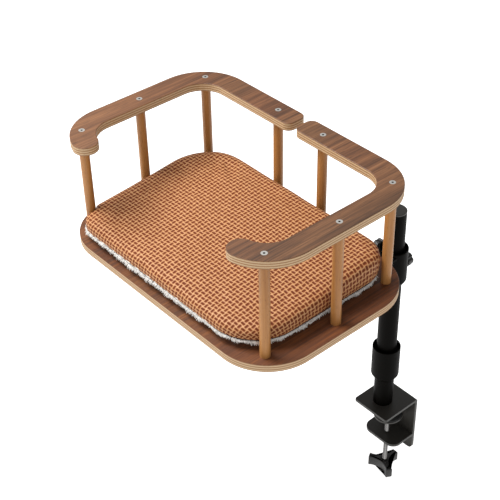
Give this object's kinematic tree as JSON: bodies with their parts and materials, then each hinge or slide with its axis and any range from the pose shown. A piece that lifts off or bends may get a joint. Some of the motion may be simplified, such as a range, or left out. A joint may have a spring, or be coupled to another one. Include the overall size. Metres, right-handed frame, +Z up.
{
  "type": "pet hammock",
  "caption": "Cat bed for a desk edge: a railed plywood tray with a crowned woven mat, carried by a collar that slides on a pole with a screw clamp at its foot.",
  "frame": {"origin": "on the pole's axis, in the flat underside of the clamp's top plate, which rests on the desk", "axes": "+Z up along the pole; -Y towards the desk and the bed's open front; +X to the right seen from the open front, with the pole near the bed's back right corner"},
  "size_m": [0.5, 0.4135, 0.708],
  "materials": {
    "walnut_ply": "walnut veneer on pale plywood, oiled",
    "beech": "clear satin varnish",
    "black_steel": "satin black powder coat",
    "bright_steel": "bright zinc",
    "screw_nickel": "nickel plate",
    "dark_screw": "black oxide",
    "black_plastic": "moulded, matte",
    "grey_plastic": "moulded, satin",
    "pad_rubber": "matte",
    "woven_mat": "woven tan and rust-brown strips with a slight gloss",
    "plush": "short off-white pile"
  },
  "bodies": {
    "clamp": {"clamp_frame": "black_steel", "jaw_nut": "black_steel", "base_tube": "black_steel", "lower_collar": "black_steel", "collar_grub_screws": "dark_screw"},
    "pole": {"main_pole": "black_steel", "pole_cap": "grey_plastic"},
    "carriage": {"upper_collar": "black_steel", "bracket_plate": "black_steel", "bracket_rib": "black_steel", "bracket_screws": "bright_steel", "tray_board": "walnut_ply", "tray_screws": "bright_steel", "left_rail": "walnut_ply", "right_rail": "walnut_ply", "rail_screws": "screw_nickel", "left_front_dowel": "beech", "left_side_dowel": "beech", "left_corner_dowel": "beech", "left_back_dowel": "beech", "right_front_dowel": "beech", "right_side_dowel": "beech", "right_corner_dowel": "beech", "right_back_dowel": "beech"},
    "left_lock": {"left_lock_stud": "bright_steel", "left_lock_knob": "black_plastic"},
    "back_lock": {"back_lock_stud": "bright_steel", "back_lock_knob": "black_plastic"},
    "mat": {"plush_base": "plush", "mat_top": "woven_mat"},
    "pad": {"pressure_pad": "black_steel", "pad_rubber": "pad_rubber"},
    "screw": {"clamp_screw": "bright_steel", "star_knob": "black_plastic"}
  },
  "joints": [
    {"name": "pole_swivel", "type": "hinge", "parent": "clamp", "child": "pole", "pos_m": [0, 0, 0.1], "axis": [0, 0, 1], "range_deg": [-180, 180]},
    {"name": "tray_height", "type": "slide", "parent": "pole", "child": "carriage", "axis": [0, 0, 1], "range_m": [-0.135, 0.055]},
    {"name": "mat_lift", "type": "slide", "parent": "carriage", "child": "mat", "axis": [0, 0, 1], "range_m": [0, 0.1]},
    {"name": "left_lock_turn", "type": "hinge", "parent": "carriage", "child": "left_lock", "pos_m": [-0.03, 0, 0.3265], "axis": [-1, 0, 0], "range_deg": [0, 720]},
    {"name": "back_lock_turn", "type": "hinge", "parent": "carriage", "child": "back_lock", "pos_m": [0, 0.03, 0.3025], "axis": [0, 1, 0], "range_deg": [0, 720]},
    {"name": "pad_travel", "type": "slide", "parent": "clamp", "child": "pad", "axis": [0, 0, 1], "range_m": [-0.0335, 0.0325]},
    {"name": "star_turn", "type": "hinge", "parent": "pad", "child": "screw", "pos_m": [0.003, 0.014, -0.12], "axis": [0, 0, 1], "range_deg": [-9640, 9350]}
  ],
  "couplings": [
    {"joint": "pad_travel", "follows": "star_turn", "m_per_rad": 0.00019894}
  ]
}
